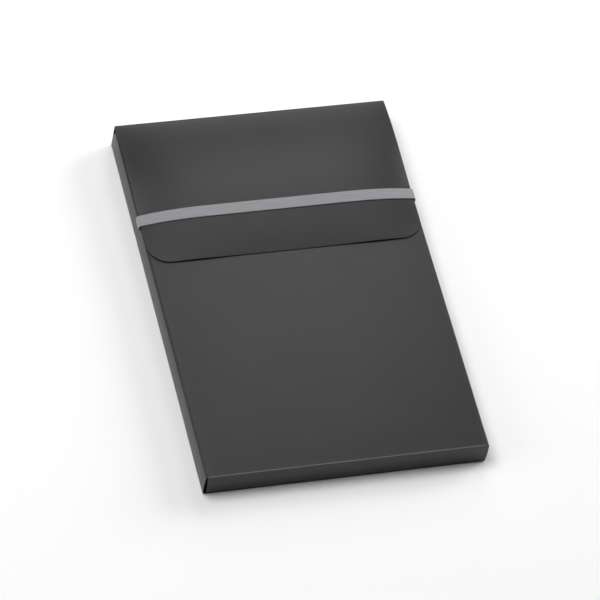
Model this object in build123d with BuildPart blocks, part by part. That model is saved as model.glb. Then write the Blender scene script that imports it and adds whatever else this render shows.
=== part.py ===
from build123d import *
import os

# A slim A4 document case folded from one creased polypropylene sheet, with a wrap-over
# flap and an elastic band.  The case lies on its back: X is its width, +Y points to the
# folded top end and +Z up through the front.  The origin is the centre of its footprint.
# Every piece of sheet between two creases is a panel of its own.

# Driving dimensions, in millimetres
case_width = 224.0
case_length = 338.0
case_depth = 22.0
sheet = 0.8                  # thickness of the polypropylene
side_bow = 0.5               # the springy sides bow outward at mid-depth
flap_length = 137.5          # from the top end to the flap's free edge
flap_inset = 1.0             # how much narrower the flap is than the case, on each side
flap_corner = 18.0
flap_rise_middle = 6.4       # the springy flap arches clear of the front
flap_rise_haunch = 5.0
flap_rise_edge = 1.0
haunch_x = 80.0              # beyond the haunches the arch falls off to the side edges
band_width = 10.0
band_sheet = 0.8             # thickness of the woven elastic
band_from_top = 96.0         # from the top end to the band's middle
strap_depth = 2.55           # the band runs back inside the case, this far under the front
strap_bend = 0.6             # inside radius of its turn into a slot
crease_inset = 2.0           # side creases, in from the case's edge
groove_width = 0.4           # a crease is a groove pressed into the sheet
groove_web = 0.35            # sheet left under the groove
fold_radius = 1.3            # outside radius of the long side folds
mouth_gap = 5.5              # the front and sides stop short of the top end
end_taper = 1.0              # the bottom panel narrows towards the back, at its left end
end_chamfer = 0.45           # and is clipped under the right fold
tab_width = 14.0             # bonding tabs
stitch_length = 6.0
stitch_diameter = 0.3
stitch_count = 7
slot_above = 0.5             # a slot's room above, below and at each end of the band
slot_below = 0.2
slot_end = 0.4

# Clearances
hair = 0.02                  # between pieces of one fold
film = 0.05                  # adhesive under a bonding tab
flap_gap = 0.2               # under the flap's free edge
spine_gap = 0.3              # between the spine and the sides' ends
end_gap = 0.12               # between the bottom panel and the right side
band_gap = 0.15              # between the band and the case's sides

# Derived places
half_width = case_width / 2
half_length = case_length / 2
back_face = 0.0
front_face = back_face + case_depth
middle_height = (back_face + front_face) / 2
crease_x = half_width - crease_inset
panel_half = crease_x - groove_width / 2
side_start = crease_x + groove_width / 2
flap_half = half_width - flap_inset
flap_top = front_face + flap_gap + sheet
bead = sheet / 2             # an end fold is a round bead as thick as the sheet
fold_y = half_length - bead
spine_fold_z = back_face + bead
flap_fold_z = flap_top - bead
bottom_fold_z = front_face - bead
mouth_y = half_length - mouth_gap
side_end = half_length - sheet - spine_gap
tab_floor = back_face + sheet + film
tab_fold_z = tab_floor + bead
band_y = half_length - band_from_top
strap_top = front_face - strap_depth
slot_low = strap_top - band_sheet - slot_below
slot_high = strap_top + slot_above


def write(piece, name):
    """Labels a finished piece and writes it as one STEP file."""
    piece.part.label = name
    export_step(piece.part, f"parts/{name}.step")


def slab(x_low, x_high, y_low, y_high, z_low, thickness=sheet):
    """A flat panel of sheet, lying level."""
    with BuildPart() as panel:
        with BuildSketch(Plane.XY.offset(z_low)):
            with Locations(((x_low + x_high) / 2, (y_low + y_high) / 2)):
                Rectangle(x_high - x_low, y_high - y_low)
        extrude(amount=thickness)
    return panel


def upright(half_low, half_high, y_outer, z_low, z_high):
    """A panel of sheet, standing across an end of the case, behind y_outer."""
    with BuildPart() as panel:
        with BuildSketch(Plane.XZ.offset(-y_outer)):
            with BuildLine():
                Polyline(
                    (-half_low, z_low),
                    (half_low, z_low),
                    (half_high, z_high),
                    (-half_high, z_high),
                    close=True,
                )
            make_face()
        extrude(amount=sheet)
    return panel


def fold_bead(half, y, z):
    """The round living hinge between two panels, along X."""
    with BuildPart() as rod:
        with BuildSketch(Plane.YZ.offset(-half)):
            with Locations((y, z)):
                Circle(bead)
        extrude(amount=2 * half)
    return rod


def side_panel(side):
    """A long side with its two rounded folds.  side is -1 on the left and 1 on the right."""
    flat_half = half_width - side_bow
    with BuildPart() as panel:
        with BuildSketch(Plane.XZ.offset(-side_end)) as section:
            with BuildLine():
                ThreePointArc(
                    (flat_half, back_face),
                    (half_width, middle_height),
                    (flat_half, front_face),
                )
                Line((flat_half, front_face), (-flat_half, front_face))
                ThreePointArc(
                    (-flat_half, front_face),
                    (-half_width, middle_height),
                    (-flat_half, back_face),
                )
                Line((-flat_half, back_face), (flat_half, back_face))
            make_face()
            fillet(section.vertices(), fold_radius)
            offset(amount=-sheet, mode=Mode.SUBTRACT)
            # What is left of the wrapper's section is this side, out from its creases.
            with Locations((side * (side_start + crease_inset), middle_height)):
                Rectangle(2 * crease_inset, 2 * case_depth, mode=Mode.INTERSECT)
        extrude(amount=side_end + half_length)
        # The mouth is cut on a slant, so that the front stops short of the top end.
        with BuildSketch(Plane.YZ):
            with BuildLine():
                Polyline(
                    (mouth_y, front_face),
                    (side_end, back_face),
                    (side_end, front_face),
                    close=True,
                )
            make_face()
        extrude(amount=case_width, both=True, mode=Mode.SUBTRACT)
        # The elastic goes in through a slot just below the front fold.
        with BuildSketch(Plane.YZ):
            with Locations((band_y, (slot_low + slot_high) / 2)):
                Rectangle(band_width + 2 * slot_end, slot_high - slot_low)
        extrude(amount=case_width, both=True, mode=Mode.SUBTRACT)
    return panel


def crease_web(side, z_low, y_high):
    """The thin web under a long crease's groove."""
    half = groove_width / 2 - hair
    x = side * crease_x
    return slab(x - half, x + half, -half_length + sheet, y_high, z_low, groove_web)


def flap_section(x, rise):
    """The flap's arched section at one place across its width."""
    y_fold = fold_y - bead - hair
    y_free = half_length - flap_length
    y_mid = (y_fold + y_free) / 2
    with BuildSketch(Plane.YZ.offset(x)) as section:
        with BuildLine():
            ThreePointArc((y_free, flap_top), (y_mid, flap_top + rise), (y_fold, flap_top))
            Line((y_fold, flap_top), (y_fold, flap_top - sheet))
            ThreePointArc(
                (y_fold, flap_top - sheet),
                (y_mid, flap_top + rise - sheet),
                (y_free, flap_top - sheet),
            )
            Line((y_free, flap_top - sheet), (y_free, flap_top))
        make_face()
    return section.sketch


os.makedirs("parts", exist_ok=True)

# --- Box of the case ---------------------------------------------------------------------

front_panel = slab(
    -panel_half,
    panel_half,
    -fold_y + bead + hair,
    mouth_y,
    front_face - sheet,
)
write(front_panel, "front_panel")

back_panel = slab(-panel_half, panel_half, -half_length, fold_y - bead - hair, back_face)
write(back_panel, "back_panel")

for side, word in ((-1, "left"), (1, "right")):
    write(side_panel(side), f"{word}_side_panel")
    front_crease = crease_web(side, front_face - sheet, mouth_y)
    write(front_crease, f"front_{word}_crease")
    back_crease = crease_web(side, back_face + sheet - groove_web, side_end)
    write(back_crease, f"back_{word}_crease")

# The blank closes on itself along the back left edge, with a tab bonded inside the back.
seam_tab = slab(
    -panel_half,
    -panel_half + tab_width,
    -half_length + 2 * tab_width,
    side_end,
    tab_floor,
)
write(seam_tab, "seam_tab")

# --- Bottom end: creased from the front, bonded inside the back --------------------------

bottom_crease = fold_bead(panel_half, -fold_y, bottom_fold_z)
write(bottom_crease, "bottom_crease")

# The panel stops at the left crease, where the corner is open.  Its right end follows the
# bow of the right side and closes the corner there.
end_low = tab_fold_z + bead + hair
end_high = bottom_fold_z - bead - hair
end_right = half_width - side_bow - sheet
with BuildPart() as bottom_panel:
    with BuildSketch(Plane.XZ.offset(half_length - sheet)):
        with BuildLine():
            Polyline(
                (end_right, end_high - end_chamfer),
                (end_right - end_chamfer, end_high),
                (-panel_half, end_high),
                (-panel_half + end_taper, end_low),
                (end_right, end_low),
            )
            ThreePointArc(
                (end_right, end_low),
                (half_width - sheet - end_gap, middle_height),
                (end_right, end_high - end_chamfer),
            )
        make_face()
    extrude(amount=sheet)
write(bottom_panel, "bottom_panel")

bottom_tab_crease = fold_bead(panel_half - end_taper, -fold_y, tab_fold_z)
write(bottom_tab_crease, "bottom_tab_crease")

bottom_tab = slab(
    -panel_half + end_taper,
    panel_half - end_taper,
    -fold_y + bead + hair,
    -fold_y + bead + tab_width,
    tab_floor,
)
write(bottom_tab, "bottom_tab")

# --- Top end: the spine turns on the back panel, the flap turns on the spine -------------

spine_crease = fold_bead(panel_half, fold_y, spine_fold_z)
write(spine_crease, "spine_crease")

spine_panel = upright(
    flap_half,
    flap_half,
    half_length,
    spine_fold_z + bead + hair,
    flap_fold_z - bead - hair,
)
write(spine_panel, "spine_panel")

flap_crease = fold_bead(flap_half, fold_y, flap_fold_z)
write(flap_crease, "flap_crease")

# The flap arches most along the middle.  Its two free corners are rounded.
with BuildPart() as closure_flap:
    loft(
        sections=[
            flap_section(-flap_half, flap_rise_edge),
            flap_section(-haunch_x, flap_rise_haunch),
            flap_section(0, flap_rise_middle),
            flap_section(haunch_x, flap_rise_haunch),
            flap_section(flap_half, flap_rise_edge),
        ]
    )
    with BuildSketch(Plane.XY.offset(back_face)) as outline:
        with Locations((0, half_length - flap_length)):
            Rectangle(2 * flap_half, flap_length, align=(Align.CENTER, Align.MIN))
        free_corners = outline.vertices().group_by(Axis.Y)[0]
        fillet(free_corners, flap_corner)
    extrude(amount=2 * case_depth, mode=Mode.INTERSECT)
write(closure_flap, "closure_flap")

# --- Elastic band: a closed woven loop, over the flap, in through the sides' slots and
# back under the front, where it is sewn edge to edge --------------------------------------

band_half = half_width + band_gap
band_shoulder = flap_top + flap_rise_edge + 0.6
band_haunch = flap_top + flap_rise_haunch + 0.45
band_crown = flap_top + flap_rise_middle
shoulder_radius = 3.0
haunch_radius = 250.0
crown_radius = 2500.0

with BuildPart() as elastic_band:
    with BuildSketch(Plane.XZ.offset(-band_y - band_width / 2)) as loop:
        with BuildLine():
            FilletPolyline(
                (-band_half, strap_top),
                (band_half, strap_top),
                (band_half, band_shoulder),
                (haunch_x, band_haunch),
                (0, band_crown),
                (-haunch_x, band_haunch),
                (-band_half, band_shoulder),
                radius=[
                    strap_bend,
                    strap_bend,
                    shoulder_radius,
                    haunch_radius,
                    crown_radius,
                    haunch_radius,
                    shoulder_radius,
                ],
                close=True,
            )
        make_face()
        inside = loop.face()
        offset(amount=band_sheet, kind=Kind.ARC)
        add(inside, mode=Mode.SUBTRACT)
    extrude(amount=band_width)
    # The stitches sink into the weave.
    sunk = stitch_diameter + hair
    stitch_pitch = band_width / (stitch_count + 1)
    strap_floor = strap_top - band_sheet
    with BuildSketch(Plane.XY.offset(strap_floor)):
        with Locations((0, band_y)):
            with GridLocations(0, stitch_pitch, 1, stitch_count):
                Rectangle(stitch_length + 2 * hair, sunk)
    extrude(amount=sunk, mode=Mode.SUBTRACT)
write(elastic_band, "elastic_band")

with BuildPart() as elastic_stitching:
    with BuildSketch(Plane.YZ.offset(-stitch_length / 2)):
        with Locations((band_y, strap_floor + stitch_diameter / 2)):
            with GridLocations(stitch_pitch, 0, stitch_count, 1):
                Circle(stitch_diameter / 2)
    extrude(amount=stitch_length)
write(elastic_stitching, "elastic_stitching")

print(f"spine axis y {fold_y:.2f} z {spine_fold_z:.2f}, flap axis z {flap_fold_z:.2f}")
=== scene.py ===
"""Looks of a slim document case: one creased plastic sheet, a wrap-over flap and an elastic band."""

import math

import bmesh
import bpy
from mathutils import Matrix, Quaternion, Vector


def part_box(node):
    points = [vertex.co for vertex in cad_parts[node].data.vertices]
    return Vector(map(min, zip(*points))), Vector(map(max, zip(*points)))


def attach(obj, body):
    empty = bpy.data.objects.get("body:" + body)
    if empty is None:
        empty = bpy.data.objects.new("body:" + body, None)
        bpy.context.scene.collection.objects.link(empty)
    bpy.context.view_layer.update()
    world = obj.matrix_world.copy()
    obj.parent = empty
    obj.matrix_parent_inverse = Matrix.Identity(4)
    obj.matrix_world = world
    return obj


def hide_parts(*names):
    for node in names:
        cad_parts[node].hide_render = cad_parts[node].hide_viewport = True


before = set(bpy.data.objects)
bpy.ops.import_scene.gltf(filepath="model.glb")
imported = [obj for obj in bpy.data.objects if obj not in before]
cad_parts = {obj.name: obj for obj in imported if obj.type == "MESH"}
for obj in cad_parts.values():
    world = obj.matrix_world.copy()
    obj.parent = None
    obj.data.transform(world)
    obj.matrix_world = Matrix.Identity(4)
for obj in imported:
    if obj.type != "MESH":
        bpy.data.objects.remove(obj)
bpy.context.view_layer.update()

MM = 0.001

# Places and sizes, all read from the frame
FRONT_LOW, FRONT_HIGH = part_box("front_panel")
SIDE_LOW, SIDE_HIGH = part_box("right_side_panel")
FLAP_LOW, FLAP_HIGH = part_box("closure_flap")
_, FLAP_BEAD_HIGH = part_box("flap_crease")
BAND_LOW, BAND_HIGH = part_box("elastic_band")

SHEET = FRONT_HIGH.z - FRONT_LOW.z
FLAP_BASE = FLAP_BEAD_HIGH.z           # the flap's outer face, where it leaves its fold
FLAP_HALF = FLAP_HIGH.x
FLAP_LENGTH = FLAP_HIGH.y - FLAP_LOW.y
BAND_SHEET = 0.8 * MM                  # thickness of the elastic
BAND_Y = (BAND_LOW.y + BAND_HIGH.y) / 2
BAND_WIDTH = BAND_HIGH.y - BAND_LOW.y

# Shape of the sheet
RIM = 0.10 * MM                        # rounding of the sheet's cut edges
FLAP_RIM = 0.15 * MM
SIDE_RIM = 0.06 * MM
FLAP_CORNER = 18 * MM
FLAP_RISE = 7.2 * MM                   # the sprung flap's arch, along its middle
FLAP_EDGE_RISE = 2.2 * MM              # the same at its side edges, above the band only
FLAP_EDGE_DOWN = 0.64                  # where that arch ends, as a share of the way down
FLAP_EDGE_CLEAR = 0.15 * MM            # how far the side edges stand off their fold's height
FLAP_LIFT = 0.8 * MM                   # how far the free edge waves up, either side of its middle
FLAP_LIFT_OUT = 0.64                   # where each wave is highest, as a share of the half width
FLAP_LIFT_REACH = 0.2                  # how wide each wave is, in the same measure
FRONT_CROWN = 0.4 * MM                 # how far the front stands out between its creases
FOLD_RADIUS = 1.3 * MM                 # of the side's long folds
SIDE_BOW = 0.5 * MM                    # how far the side bows out between its folds
END_CHAMFER = 0.45 * MM                # the bottom end's top right corner

# The elastic: its slots in the sides, its turns, and its distance from the flap
SLOT_LOW = BAND_LOW.z - 0.2 * MM
SLOT_HIGH = BAND_LOW.z + BAND_SHEET + 0.5 * MM
SLOT_HALF = BAND_WIDTH / 2 + 0.4 * MM
STRAP_BEND = 0.6 * MM                  # radius of its turn into the slot
SHOULDER = 2.2 * MM                    # radius of its turn over the flap's edge
FLAP_GAP = 0.1 * MM                    # between its inner face and the flap
RIBS = 8
RIB_DEPTH = 0.10                       # of its thickness
EDGE_THINNING = 0.45                   # of its thickness, lost at the very edges
EDGE_POWER = 24                        # how suddenly it thins there


# --- Camera ------------------------------------------------------------------------------

def place_camera():
    """The reference's viewing angle.  The case leans to the right in it, hence the roll."""
    azimuth = math.radians(-24.07)
    elevation = math.radians(52.63)
    roll = math.radians(13.45)
    distance = 3.4727
    target = Vector((0.0013, -0.0084, 0.01055))
    level = math.cos(elevation)
    back = Vector((math.sin(azimuth) * level, -math.cos(azimuth) * level, math.sin(elevation)))
    camera = bpy.data.objects.new("camera", bpy.data.cameras.new("camera"))
    bpy.context.scene.collection.objects.link(camera)
    camera.data.lens = 267.73
    camera.data.sensor_width = 36
    camera.data.clip_end = 50
    camera.location = target + distance * back
    camera.rotation_mode = "QUATERNION"
    turn = Quaternion((0, 0, 1), roll)
    camera.rotation_quaternion = (-back).to_track_quat("-Z", "Y") @ turn
    bpy.context.scene.camera = camera


# --- Materials ---------------------------------------------------------------------------

def new_material(name):
    """An empty node material with its shader, and a function that adds and links nodes."""
    material = bpy.data.materials.new(name)
    material.use_nodes = True
    tree = material.node_tree
    shader = tree.nodes["Principled BSDF"]

    def node(kind, inputs=None, **settings):
        made = tree.nodes.new(kind)
        for key, value in settings.items():
            setattr(made, key, value)
        for key, value in (inputs or {}).items():
            if isinstance(value, bpy.types.NodeSocket):
                tree.links.new(value, made.inputs[key])
            else:
                made.inputs[key].default_value = value
        return made

    def link(output, name):
        tree.links.new(output, shader.inputs[name])

    return material, shader, node, link


def noise(node, where, size, detail=2.0, roughness=0.5):
    """A noise pattern whose features are about size across."""
    inputs = {"Vector": where, "Scale": 1 / size, "Detail": detail, "Roughness": roughness}
    return node("ShaderNodeTexNoise", inputs).outputs["Fac"]


def spread(node, value, low, high, source_low=0.3, source_high=0.7):
    """Maps a pattern's usual range to low..high."""
    inputs = {
        "Value": value,
        "From Min": source_low,
        "From Max": source_high,
        "To Min": low,
        "To Max": high,
    }
    return node("ShaderNodeMapRange", inputs).outputs["Result"]


def mixed(node, factor, first, second):
    """One colour to another by a pattern."""
    mix = node("ShaderNodeMix", {"Factor": factor}, data_type="RGBA")
    for socket, colour in ((mix.inputs[6], first), (mix.inputs[7], second)):
        if isinstance(colour, bpy.types.NodeSocket):
            mix.id_data.links.new(colour, socket)
        else:
            socket.default_value = (*colour, 1)
    return mix.outputs[2]


def sheet_material(name, dark, light, worn, base_roughness):
    """Matt polypropylene: a fine pressed grain, soft waves, and worn, paler cut edges."""
    material, shader, node, link = new_material(name)
    shader.inputs["Specular IOR Level"].default_value = 0.42
    where = node("ShaderNodeTexCoord").outputs["Object"]
    mottle = noise(node, where, 35 * MM, detail=4)
    grain = noise(node, where, 0.45 * MM, detail=3, roughness=0.6)
    waves = noise(node, where, 90 * MM, detail=1)
    scuffs = noise(node, where, 5 * MM, detail=5, roughness=0.65)
    edge = node("ShaderNodeAttribute", attribute_name="rim").outputs["Fac"]
    wear = node("ShaderNodeMath", {0: edge, 1: spread(node, scuffs, 0.3, 1.0)}, operation="MULTIPLY")
    body = mixed(node, spread(node, mottle, 0, 1), dark, light)
    link(mixed(node, wear.outputs[0], body, worn), "Base Color")
    link(spread(node, scuffs, base_roughness - 0.02, base_roughness + 0.03), "Roughness")
    soft = node("ShaderNodeBump", {"Height": waves, "Strength": 0.4, "Distance": 0.2 * MM})
    fine = node("ShaderNodeBump", {"Height": grain, "Strength": 0.35, "Distance": 0.02 * MM})
    fine.id_data.links.new(soft.outputs["Normal"], fine.inputs["Normal"])
    link(fine.outputs["Normal"], "Normal")
    return material


def elastic_material(name, dark, light):
    """Ribbed woven elastic.  The weave attribute runs along, across and round each rib."""
    material, shader, node, link = new_material(name)
    shader.inputs["Roughness"].default_value = 0.85
    shader.inputs["Sheen Weight"].default_value = 0.25
    shader.inputs["Sheen Roughness"].default_value = 0.5
    shader.inputs["Specular IOR Level"].default_value = 0.2
    weave = node("ShaderNodeAttribute", attribute_name="weave").outputs["Vector"]
    parts = node("ShaderNodeSeparateXYZ", {"Vector": weave}).outputs
    rows = node("ShaderNodeMath", {0: parts["X"], 1: 2 * math.pi / (0.9 * MM)}, operation="MULTIPLY")
    slant = node("ShaderNodeMath", {0: parts["Y"], 1: 2 * math.pi / (1.25 * MM)}, operation="MULTIPLY")
    both = node("ShaderNodeMath", {0: rows.outputs[0], 1: slant.outputs[0]}, operation="ADD")
    yarns = node("ShaderNodeMath", {0: both.outputs[0]}, operation="SINE").outputs[0]
    fuzz = noise(node, weave, 0.3 * MM, detail=3)
    streak_space = node("ShaderNodeMapping", {"Vector": weave, "Scale": (0.05, 1, 1)}).outputs[0]
    streaks = noise(node, streak_space, 0.8 * MM, detail=2)
    tone = node(
        "ShaderNodeMath",
        {0: spread(node, yarns, 0, 0.5, -1, 1), 1: spread(node, streaks, 0, 0.5)},
        operation="ADD",
    ).outputs[0]
    link(mixed(node, tone, dark, light), "Base Color")
    height = node("ShaderNodeMath", {0: yarns, 1: fuzz}, operation="ADD").outputs[0]
    bump = node("ShaderNodeBump", {"Height": height, "Strength": 0.5, "Distance": 0.04 * MM})
    link(bump.outputs["Normal"], "Normal")
    return material


def thread_material(name, dark, light):
    """Spun sewing thread."""
    material, shader, node, link = new_material(name)
    shader.inputs["Roughness"].default_value = 0.8
    where = node("ShaderNodeTexCoord").outputs["Object"]
    fibres = noise(node, where, 0.08 * MM, detail=3)
    link(mixed(node, spread(node, fibres, 0, 1), dark, light), "Base Color")
    bump = node("ShaderNodeBump", {"Height": fibres, "Strength": 0.4, "Distance": 0.02 * MM})
    link(bump.outputs["Normal"], "Normal")
    return material


def floor_material(name):
    """A pale studio floor."""
    material, shader, node, link = new_material(name)
    shader.inputs["Roughness"].default_value = 0.9
    shader.inputs["Specular IOR Level"].default_value = 0.1
    where = node("ShaderNodeTexCoord").outputs["Object"]
    link(mixed(node, noise(node, where, 0.5), (0.90, 0.90, 0.90), (0.92, 0.92, 0.92)), "Base Color")
    return material


SHEET_MATERIAL = sheet_material(
    "charcoal_sheet", (0.0115, 0.0115, 0.0118), (0.0145, 0.0145, 0.0148), (0.024, 0.024, 0.0245), 0.40
)
CREASE_MATERIAL = sheet_material(
    "pressed_crease", (0.013, 0.013, 0.0132), (0.017, 0.017, 0.0173), (0.03, 0.03, 0.03), 0.40
)
# Painted highlight: the bottom fold is coloured far paler than the sheet, standing for the light it
# catches.
FOLD_HIGHLIGHT_MATERIAL = sheet_material(
    "painted_highlight_fold", (0.13, 0.13, 0.132), (0.17, 0.17, 0.173), (0.20, 0.20, 0.20), 0.36
)
ELASTIC_MATERIAL = elastic_material("ribbed_elastic", (0.215, 0.205, 0.226), (0.31, 0.30, 0.321))
THREAD_MATERIAL = thread_material("sewing_thread", (0.20, 0.19, 0.21), (0.30, 0.29, 0.31))


# --- Meshes ------------------------------------------------------------------------------

def along(low, high, count):
    """count + 1 even steps from low to high."""
    return [low + (high - low) * i / count for i in range(count + 1)]


def lattice(name, lines, closed=False):
    """A mesh of quads through lines of points, all of one length.  closed joins last to first."""
    wide = len(lines[0])
    points = [p for line in lines for p in line]
    faces = []
    for i in range(len(lines) if closed else len(lines) - 1):
        j = (i + 1) % len(lines)
        for k in range(wide - 1):
            faces.append((i * wide + k, i * wide + k + 1, j * wide + k + 1, j * wide + k))
    mesh = bpy.data.meshes.new(name)
    mesh.from_pydata(points, [], faces)
    mesh.polygons.foreach_set("use_smooth", [True] * len(faces))
    piece = bpy.data.objects.new(name, mesh)
    bpy.context.scene.collection.objects.link(piece)
    return piece


def paint_rim(piece, lines, reach=1.2 * MM):
    """Marks how near each point is to the sheet's cut edge, for the wear in its material."""
    last, end = len(lines) - 1, len(lines[0]) - 1
    values = []
    for line in lines:
        for k, point in enumerate(line):
            edges = (line[0], line[end], lines[0][k], lines[last][k])
            gap = min((point - e).length for e in edges)
            values.append(math.exp(-gap / reach))
    attribute = piece.data.attributes.new("rim", "FLOAT", "POINT")
    attribute.data.foreach_set("value", values)


def sheet_piece(node, body, lines, rim=RIM):
    """A panel of the sheet.  lines run over its outer face; the sheet's thickness lies behind."""
    piece = lattice(node + "_sheet", lines)
    paint_rim(piece, lines)
    solid = piece.modifiers.new("thickness", "SOLIDIFY")
    solid.thickness = SHEET
    solid.offset = -1
    solid.use_even_offset = True
    bevel = piece.modifiers.new("rim", "BEVEL")
    bevel.width = rim
    bevel.segments = 3
    bevel.limit_method = "ANGLE"
    bevel.angle_limit = math.radians(50)
    weighted = piece.modifiers.new("normals", "WEIGHTED_NORMAL")
    weighted.keep_sharp = True
    piece.data.materials.append(SHEET_MATERIAL)
    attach(piece, body)
    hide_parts(node)
    return piece


def plate_lines(corners, columns, rows, raise_by=None):
    """Lines over a flat face between four corners, given in turn, with an optional relief."""
    first, second, third, fourth = corners
    across = along(0, 1, columns)
    lines = []
    for v in along(0, 1, rows):
        start, end = first.lerp(fourth, v), second.lerp(third, v)
        line = [start.lerp(end, u) for u in across]
        if raise_by:
            line = [p + raise_by(u, v) for p, u in zip(line, across)]
        lines.append(line)
    return lines


# --- The folded sheet --------------------------------------------------------------------

def make_front():
    """The front, drawn down a little to its long creases."""
    def crown(u, v):
        across = abs(2 * u - 1)
        ends = 1 - (2 * v - 1) ** 8
        return Vector((0, 0, FRONT_CROWN * (1 - across ** 6) * ends))

    low, high = FRONT_LOW, FRONT_HIGH
    corners = [
        Vector((low.x, low.y, high.z)),
        Vector((high.x, low.y, high.z)),
        Vector((high.x, high.y, high.z)),
        Vector((low.x, high.y, high.z)),
    ]
    sheet_piece("front_panel", "case", plate_lines(corners, 60, 90, crown))


def make_flat_panels():
    """The back and the two bonding tabs, which lie level."""
    for node, columns, rows in (("back_panel", 40, 60), ("seam_tab", 6, 60), ("bottom_tab", 40, 6)):
        low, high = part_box(node)
        outer = low.z
        corners = [
            Vector((high.x, low.y, outer)),
            Vector((low.x, low.y, outer)),
            Vector((low.x, high.y, outer)),
            Vector((high.x, high.y, outer)),
        ]
        sheet_piece(node, "case", plate_lines(corners, columns, rows))


def make_ends():
    """The bottom end, slanted at its left and bowed with the side at its right, and the spine."""
    low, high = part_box("bottom_panel")
    tab_low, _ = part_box("bottom_tab")
    corner = high.z - END_CHAMFER
    middle = (SIDE_LOW.z + SIDE_HIGH.z) / 2
    bow = high.x - (SIDE_HIGH.x - SIDE_BOW - SHEET)
    lines = []
    for z in along(low.z, corner, 12) + along(corner, high.z, 3)[1:]:
        v = (z - low.z) / (high.z - low.z)
        left = tab_low.x + (low.x - tab_low.x) * v
        offset = (z - middle) / (corner - middle)
        right = high.x - bow * min(offset ** 2, 1) - max(z - corner, 0)
        lines.append([Vector((left + (right - left) * u, low.y, z)) for u in along(0, 1, 60)])
    sheet_piece("bottom_panel", "case", lines)
    low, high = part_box("spine_panel")
    corners = [
        Vector((high.x, high.y, low.z)),
        Vector((low.x, high.y, low.z)),
        Vector((low.x, high.y, high.z)),
        Vector((high.x, high.y, high.z)),
    ]
    sheet_piece("spine_panel", "spine", plate_lines(corners, 60, 8))


def side_outline():
    """(x, z) along the right side's outer face, from its back crease to its front crease."""
    low, high = SIDE_LOW, SIDE_HIGH
    middle = (low.z + high.z) / 2
    reach = (high.z - low.z) / 2
    bow_radius = (reach ** 2 + SIDE_BOW ** 2) / (2 * SIDE_BOW)
    bow_centre = high.x - bow_radius
    drop = reach - FOLD_RADIUS
    fold_x = bow_centre + math.sqrt((bow_radius - FOLD_RADIUS) ** 2 - drop ** 2)
    lean = math.asin(drop / (bow_radius - FOLD_RADIUS))
    lower = [(low.x, low.z)]
    for angle in along(-math.pi / 2, -lean, 8):
        x = fold_x + FOLD_RADIUS * math.cos(angle)
        lower.append((x, middle - drop + FOLD_RADIUS * math.sin(angle)))
    upper = [(x, 2 * middle - z) for x, z in reversed(lower)]
    heights = along(lower[-1][1], SLOT_LOW, 8)[1:] + [SLOT_HIGH]
    bowed = [(bow_centre + math.sqrt(bow_radius ** 2 - (z - middle) ** 2), z) for z in heights]
    return lower + bowed + upper


def make_sides():
    """The two long sides with their rounded folds, slanted mouth ends and slots."""
    low, high = SIDE_LOW, SIDE_HIGH
    mouth = FRONT_HIGH.y
    slot_near, slot_far = BAND_Y - SLOT_HALF, BAND_Y + SLOT_HALF
    for side, node in ((-1, "left_side_panel"), (1, "right_side_panel")):
        outline = side_outline()
        if side < 0:
            outline.reverse()
        lines = []
        for y in along(low.y, slot_near, 40) + along(slot_near, slot_far, 4)[1:]:
            lines.append([Vector((side * x, y, z)) for x, z in outline])
        for v in along(0, 1, 18)[1:]:
            line = []
            for x, z in outline:
                end = high.y + (mouth - high.y) * (z - low.z) / (high.z - low.z)
                line.append(Vector((side * x, slot_far + (end - slot_far) * v, z)))
            lines.append(line)
        piece = sheet_piece(node, "case", lines, rim=SIDE_RIM)
        piece.data.flip_normals()
        cut_slot(piece, slot_near, slot_far)


def cut_slot(piece, near, far):
    """Takes the faces of a slot out of a side."""
    mesh = bmesh.new()
    mesh.from_mesh(piece.data)
    inside = []
    for face in mesh.faces:
        centre = face.calc_center_median()
        if near < centre.y < far and SLOT_LOW < centre.z < SLOT_HIGH:
            inside.append(face)
    bmesh.ops.delete(mesh, geom=inside, context="FACES")
    mesh.to_mesh(piece.data)
    mesh.free()


def flap_height(x, y):
    """The flap's outer face.  It springs up between its fold and the band, and lies low below."""
    down = min(max((FLAP_HIGH.y - y) / FLAP_LENGTH, 0.0), 1.0)
    out = min(abs(x) / FLAP_HALF, 1.0)
    middle = FLAP_RISE * math.sin(math.pi * down ** 0.8) ** 0.9
    above_band = min(down / FLAP_EDGE_DOWN, 1.0)
    edge = FLAP_EDGE_RISE * math.sin(math.pi * above_band ** 0.75)
    edge += FLAP_EDGE_CLEAR * math.sin(math.pi * min(down * 5, 1) / 2)
    wave = FLAP_LIFT * math.exp(-((out - FLAP_LIFT_OUT) / FLAP_LIFT_REACH) ** 2) * down ** 4
    weight = out ** 5
    return FLAP_BASE + middle * (1 - weight) + edge * weight + wave


def make_flap():
    """The wrap-over flap, with its two free corners rounded."""
    fine = [FLAP_LOW.y + FLAP_CORNER * (1 - math.cos(a)) for a in along(0, math.pi / 2, 16)]
    rest = along(FLAP_LOW.y + FLAP_CORNER, FLAP_HIGH.y, 70)[1:]
    lines = []
    for y in fine + rest:
        short = max(FLAP_CORNER - (y - FLAP_LOW.y), 0)
        half = FLAP_HALF - FLAP_CORNER + math.sqrt(FLAP_CORNER ** 2 - short ** 2)
        lines.append([Vector((half * s, y, flap_height(half * s, y))) for s in along(-1, 1, 100)])
    sheet_piece("closure_flap", "flap", lines, rim=FLAP_RIM)


# --- Elastic band ------------------------------------------------------------------------

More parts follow.
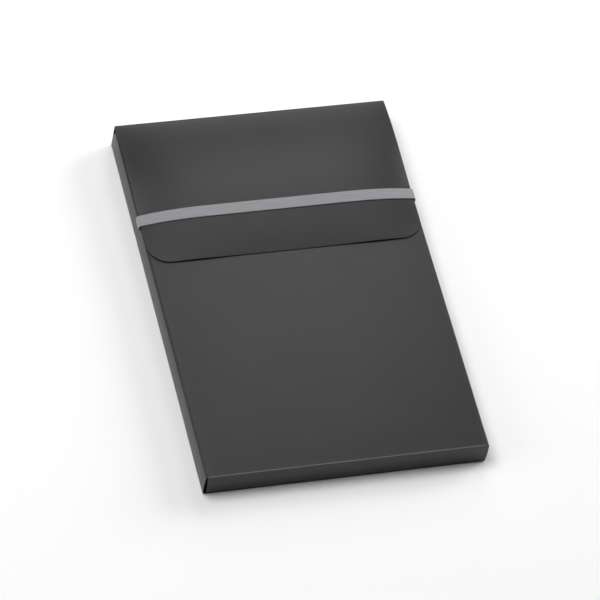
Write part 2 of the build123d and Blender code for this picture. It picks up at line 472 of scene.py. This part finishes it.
def band_path():
    """(x, z) round the inside of the band's loop, from the middle of its run inside the case,
    with each point's share of following the flap across the band's width."""
    half = BAND_HIGH.x - BAND_SHEET
    inside = BAND_LOW.z + BAND_SHEET       # height of its run under the front
    turn_x = half - SHOULDER
    leave = turn_x - 0.4 * MM
    on_flap = leave - 1.5 * MM             # from here inwards it lies on the flap
    path = [(x, inside, 0.0) for x in along(0, half - STRAP_BEND, 70)]
    for a in along(-math.pi / 2, 0, 8)[1:]:
        x = half - STRAP_BEND + STRAP_BEND * math.cos(a)
        path.append((x, inside + STRAP_BEND + STRAP_BEND * math.sin(a), 0.0))
    slope = math.atan2(flap_height(leave - MM, BAND_Y) - flap_height(leave, BAND_Y), MM)
    turn_z = flap_height(leave, BAND_Y) + 2 * FLAP_GAP - SHOULDER * math.cos(slope)
    for z in along(inside + STRAP_BEND, turn_z, 6)[1:]:
        path.append((half, z, 0.0))
    for a in along(0, math.pi / 2 - slope, 9)[1:]:
        path.append((turn_x + SHOULDER * math.cos(a), turn_z + SHOULDER * math.sin(a), 0.0))
    for x in along(on_flap, 0, 90):
        path.append((x, flap_height(x, BAND_Y) + FLAP_GAP, 1.0))
    mirrored = [(-x, z, f) for x, z, f in reversed(path[1:-1])]
    return path + mirrored


def band_section():
    """(across, out) round the band's ribbed section, out being 0 inside and 1 outside."""
    half = BAND_WIDTH / 2
    section = []
    for u in along(-1, 1, 64):
        rib = 0.5 - 0.5 * math.cos(math.pi * RIBS * (u + 1))
        thinned = 1 - abs(u) ** EDGE_POWER * EDGE_THINNING
        section.append((half * u, (1 - RIB_DEPTH + RIB_DEPTH * rib) * thinned))
    for u in along(1, -1, 32):
        section.append((half * u, abs(u) ** EDGE_POWER * EDGE_THINNING))
    return section


def make_band():
    """The woven elastic loop, along the flap, in through the slots and back under the front."""
    path = band_path()
    section = band_section()
    count = len(path)
    lines, weave, travelled = [], [], 0.0
    for i, (x, z, follow) in enumerate(path):
        before, after = path[i - 1], path[(i + 1) % count]
        tangent = Vector((after[0] - before[0], after[1] - before[1])).normalized()
        normal = Vector((tangent.y, -tangent.x))
        if i:
            travelled += math.dist(path[i - 1][:2], (x, z))
        line = []
        for across, out in section:
            y = BAND_Y + across
            dz = follow * (flap_height(x, y) - flap_height(x, BAND_Y))
            reach = out * BAND_SHEET
            line.append(Vector((x + normal.x * reach, y, z + dz + normal.y * reach)))
            weave.append((travelled, across, reach))
        line.append(line[0].copy())
        weave.append(weave[-len(section)])
        lines.append(line)
    piece = lattice("elastic_band_woven", lines, closed=True)
    attribute = piece.data.attributes.new("weave", "FLOAT_VECTOR", "POINT")
    attribute.data.foreach_set("vector", [c for p in weave for c in p])
    weld(piece)
    piece.data.materials.append(ELASTIC_MATERIAL)
    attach(piece, "case")
    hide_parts("elastic_band")


def weld(piece, gap=1e-6):
    """Joins the points that lie in one place."""
    mesh = bmesh.new()
    mesh.from_mesh(piece.data)
    bmesh.ops.remove_doubles(mesh, verts=mesh.verts, dist=gap)
    bmesh.ops.recalc_face_normals(mesh, faces=mesh.faces)
    mesh.to_mesh(piece.data)
    mesh.free()


# --- Carried-over nodes ------------------------------------------------------------------

def finish_cad_nodes():
    """The folds, the grooves' webs and the stitching keep their CAD shape.  The bottom fold is
    painted pale, a painted highlight along it."""
    for name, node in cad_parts.items():
        if node.hide_render:
            continue
        material = CREASE_MATERIAL
        if "stitching" in name:
            material = THREAD_MATERIAL
        # The bottom fold gets the pale painted highlight.
        elif name == "bottom_crease":
            material = FOLD_HIGHLIGHT_MATERIAL
        for material_slot in node.material_slots:
            material_slot.material = material


# --- Stage -------------------------------------------------------------------------------

# name, azimuth, elevation, distance, size, watts.  Azimuth 0 stands at -Y, 90 at +X.
SOFT_LIGHTS = (
    ("left_light", 270, 24, 3.0, 1.6, 23),
    ("high_light", 245, 68, 3.0, 1.6, 62),
    ("right_light", 110, 24, 3.0, 1.6, 58),
    ("back_light", 165, 20, 3.0, 1.4, 12),
    ("top_light", 0, 68, 3.0, 1.6, 3),
)


def softbox(name, azimuth, elevation, distance, size, power, target=(0, 0, 0)):
    """A square area light that faces the target."""
    a, e = math.radians(azimuth), math.radians(elevation)
    back = Vector((math.sin(a) * math.cos(e), -math.cos(a) * math.cos(e), math.sin(e)))
    data = bpy.data.lights.new(name, "AREA")
    data.shape = "SQUARE"
    data.size = size
    data.energy = power
    light = bpy.data.objects.new(name, data)
    bpy.context.scene.collection.objects.link(light)
    light.location = Vector(target) + distance * back
    light.rotation_mode = "QUATERNION"
    light.rotation_quaternion = back.to_track_quat("Z", "Y")


def make_floor():
    """A pale floor, just under the case."""
    half = 8
    level = -0.2 * MM
    floor = lattice("floor", [
        [Vector((-half, -half, level)), Vector((half, -half, level))],
        [Vector((-half, half, level)), Vector((half, half, level))],
    ])
    floor.data.materials.append(floor_material("pale_floor"))


def make_lights():
    """A dim white studio, a small light that the front mirrors, and five large soft ones."""
    world = bpy.data.worlds.new("studio")
    world.use_nodes = True
    background = world.node_tree.nodes["Background"].inputs
    background["Color"].default_value = (1, 1, 1, 1)
    background["Strength"].default_value = 0.03
    bpy.context.scene.world = world
    bpy.context.scene.view_settings.view_transform = "Standard"
    softbox("sheen_light", 155.9, 52.6, 1.0, 0.35, 1.58, target=(0, 0.06, 0.023))
    for light in SOFT_LIGHTS:
        softbox(*light)


place_camera()
make_front()
make_flat_panels()
make_ends()
make_sides()
make_flap()
make_band()
finish_cad_nodes()
make_floor()
make_lights()
